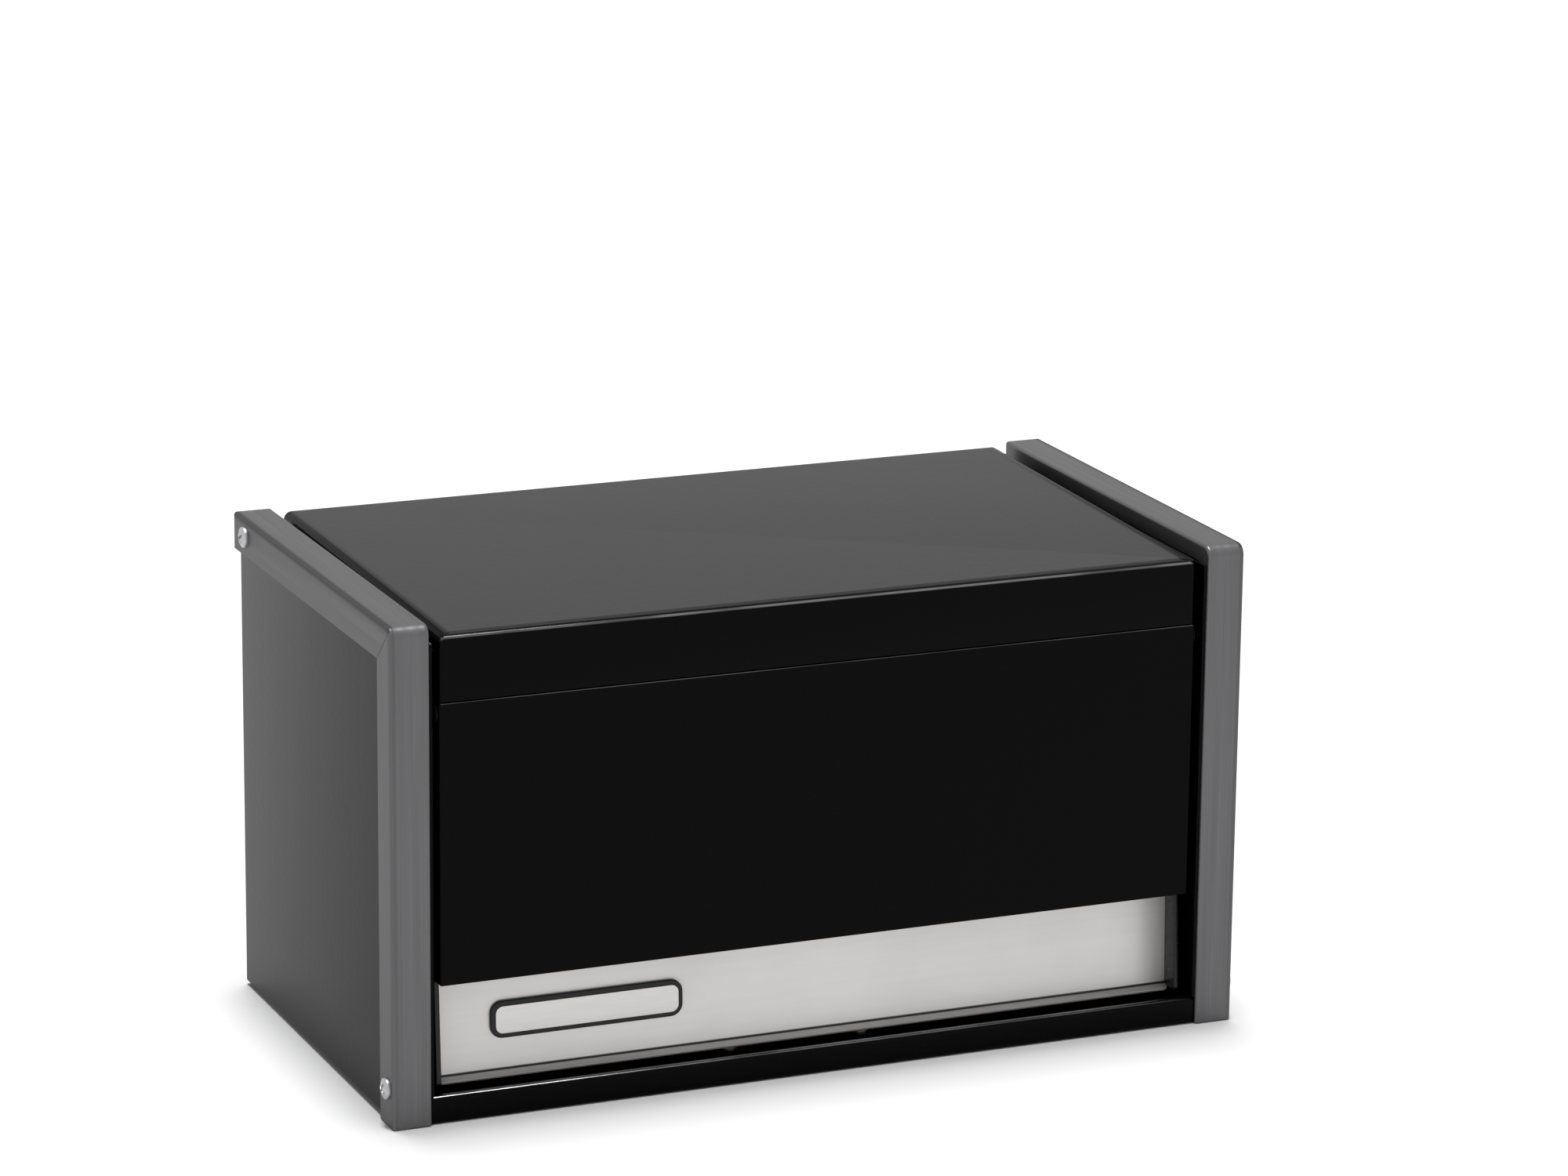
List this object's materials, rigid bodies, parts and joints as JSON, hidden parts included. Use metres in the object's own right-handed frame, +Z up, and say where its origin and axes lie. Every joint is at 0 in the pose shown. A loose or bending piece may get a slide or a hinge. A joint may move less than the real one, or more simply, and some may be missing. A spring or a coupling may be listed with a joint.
{
  "type": "lift-door tool cabinet",
  "caption": "Small folded-steel tool cabinet with grey corner trims and a top-hinged lift-up door with a recessed brushed steel finger pull.",
  "frame": {"origin": "on the bench, under the middle of the cabinet's bounding box", "axes": "X along the width with the nameplate at -X, -Y towards the door (front), +Z up"},
  "size_m": [0.2906, 0.152, 0.1594],
  "materials": {
    "black_paint": "gloss black powder coat",
    "grey_paint": "satin grey, faintly drawn lengthwise",
    "brushed_strip": "fine brushed, lightly mottled",
    "zinc_steel": "bright zinc plate",
    "black_plastic": "moulded, semi-gloss",
    "satin_inlay": "satin, blank",
    "white_nylon": "natural nylon",
    "spring_tube_paint": "satin black",
    "chromed_rod": "polished",
    "magnet": "ground steel pole plates"
  },
  "bodies": {
    "case": {"bottom_pan": "black_paint", "back_panel": "black_paint", "top_cover": "black_paint", "catch_housing": "black_plastic", "catch_magnet": "magnet", "catch_screws": "zinc_steel", "corner_trim_left": "grey_paint", "corner_trim_right": "grey_paint", "trim_screws_left": "zinc_steel", "trim_screws_right": "zinc_steel", "side_panel_left": "black_paint", "side_panel_right": "black_paint", "inner_wall_left": "black_paint", "inner_wall_right": "black_paint", "hinge_stud_left": "black_paint", "hinge_stud_right": "black_paint", "strut_case_stud_left": "zinc_steel", "strut_case_stud_right": "zinc_steel"},
    "door": {"door_panel": "black_paint", "pull_trim": "brushed_strip", "nameplate_base": "black_plastic", "nameplate_inlay": "satin_inlay", "catch_strike": "zinc_steel", "strike_rivets": "zinc_steel", "pull_end_cap_left": "black_plastic", "pull_end_cap_right": "black_plastic", "hinge_bush_left": "black_plastic", "hinge_bush_right": "black_plastic", "strut_door_stud_left": "zinc_steel", "strut_door_stud_right": "zinc_steel"},
    "spring_tube_left": {"strut_tube_left": "spring_tube_paint", "strut_tube_end_left": "black_plastic", "strut_gland_left": "black_plastic"},
    "spring_rod_left": {"strut_rod_left": "chromed_rod", "strut_rod_end_left": "black_plastic", "strut_piston_left": "white_nylon"},
    "spring_tube_right": {"strut_tube_right": "spring_tube_paint", "strut_tube_end_right": "black_plastic", "strut_gland_right": "black_plastic"},
    "spring_rod_right": {"strut_rod_right": "chromed_rod", "strut_rod_end_right": "black_plastic", "strut_piston_right": "white_nylon"}
  },
  "joints": [
    {"name": "door_hinge", "type": "hinge", "parent": "case", "child": "door", "pos_m": [0, -0.07025, 0.1301], "axis": [-1, 0, 0], "range_deg": [0, 90]},
    {"name": "spring_tube_pivot_left", "type": "hinge", "parent": "case", "child": "spring_tube_left", "pos_m": [-0.12185, -0.0252, 0.12081], "axis": [-1, 0, 0], "range_deg": [0, 45]},
    {"name": "spring_rod_pivot_left", "type": "hinge", "parent": "door", "child": "spring_rod_left", "pos_m": [-0.12185, -0.06676, 0.08423], "axis": [-1, 0, 0], "range_deg": [-45, 0]},
    {"name": "spring_tube_pivot_right", "type": "hinge", "parent": "case", "child": "spring_tube_right", "pos_m": [0.12185, -0.0252, 0.12081], "axis": [-1, 0, 0], "range_deg": [0, 45]},
    {"name": "spring_rod_pivot_right", "type": "hinge", "parent": "door", "child": "spring_rod_right", "pos_m": [0.12185, -0.06676, 0.08423], "axis": [-1, 0, 0], "range_deg": [-45, 0]}
  ],
  "couplings": [
    {"joint": "spring_tube_pivot_left", "follows": "door_hinge", "ratio": 0.5},
    {"joint": "spring_rod_pivot_left", "follows": "door_hinge", "ratio": -0.5},
    {"joint": "spring_tube_pivot_right", "follows": "door_hinge", "ratio": 0.5},
    {"joint": "spring_rod_pivot_right", "follows": "door_hinge", "ratio": -0.5}
  ]
}
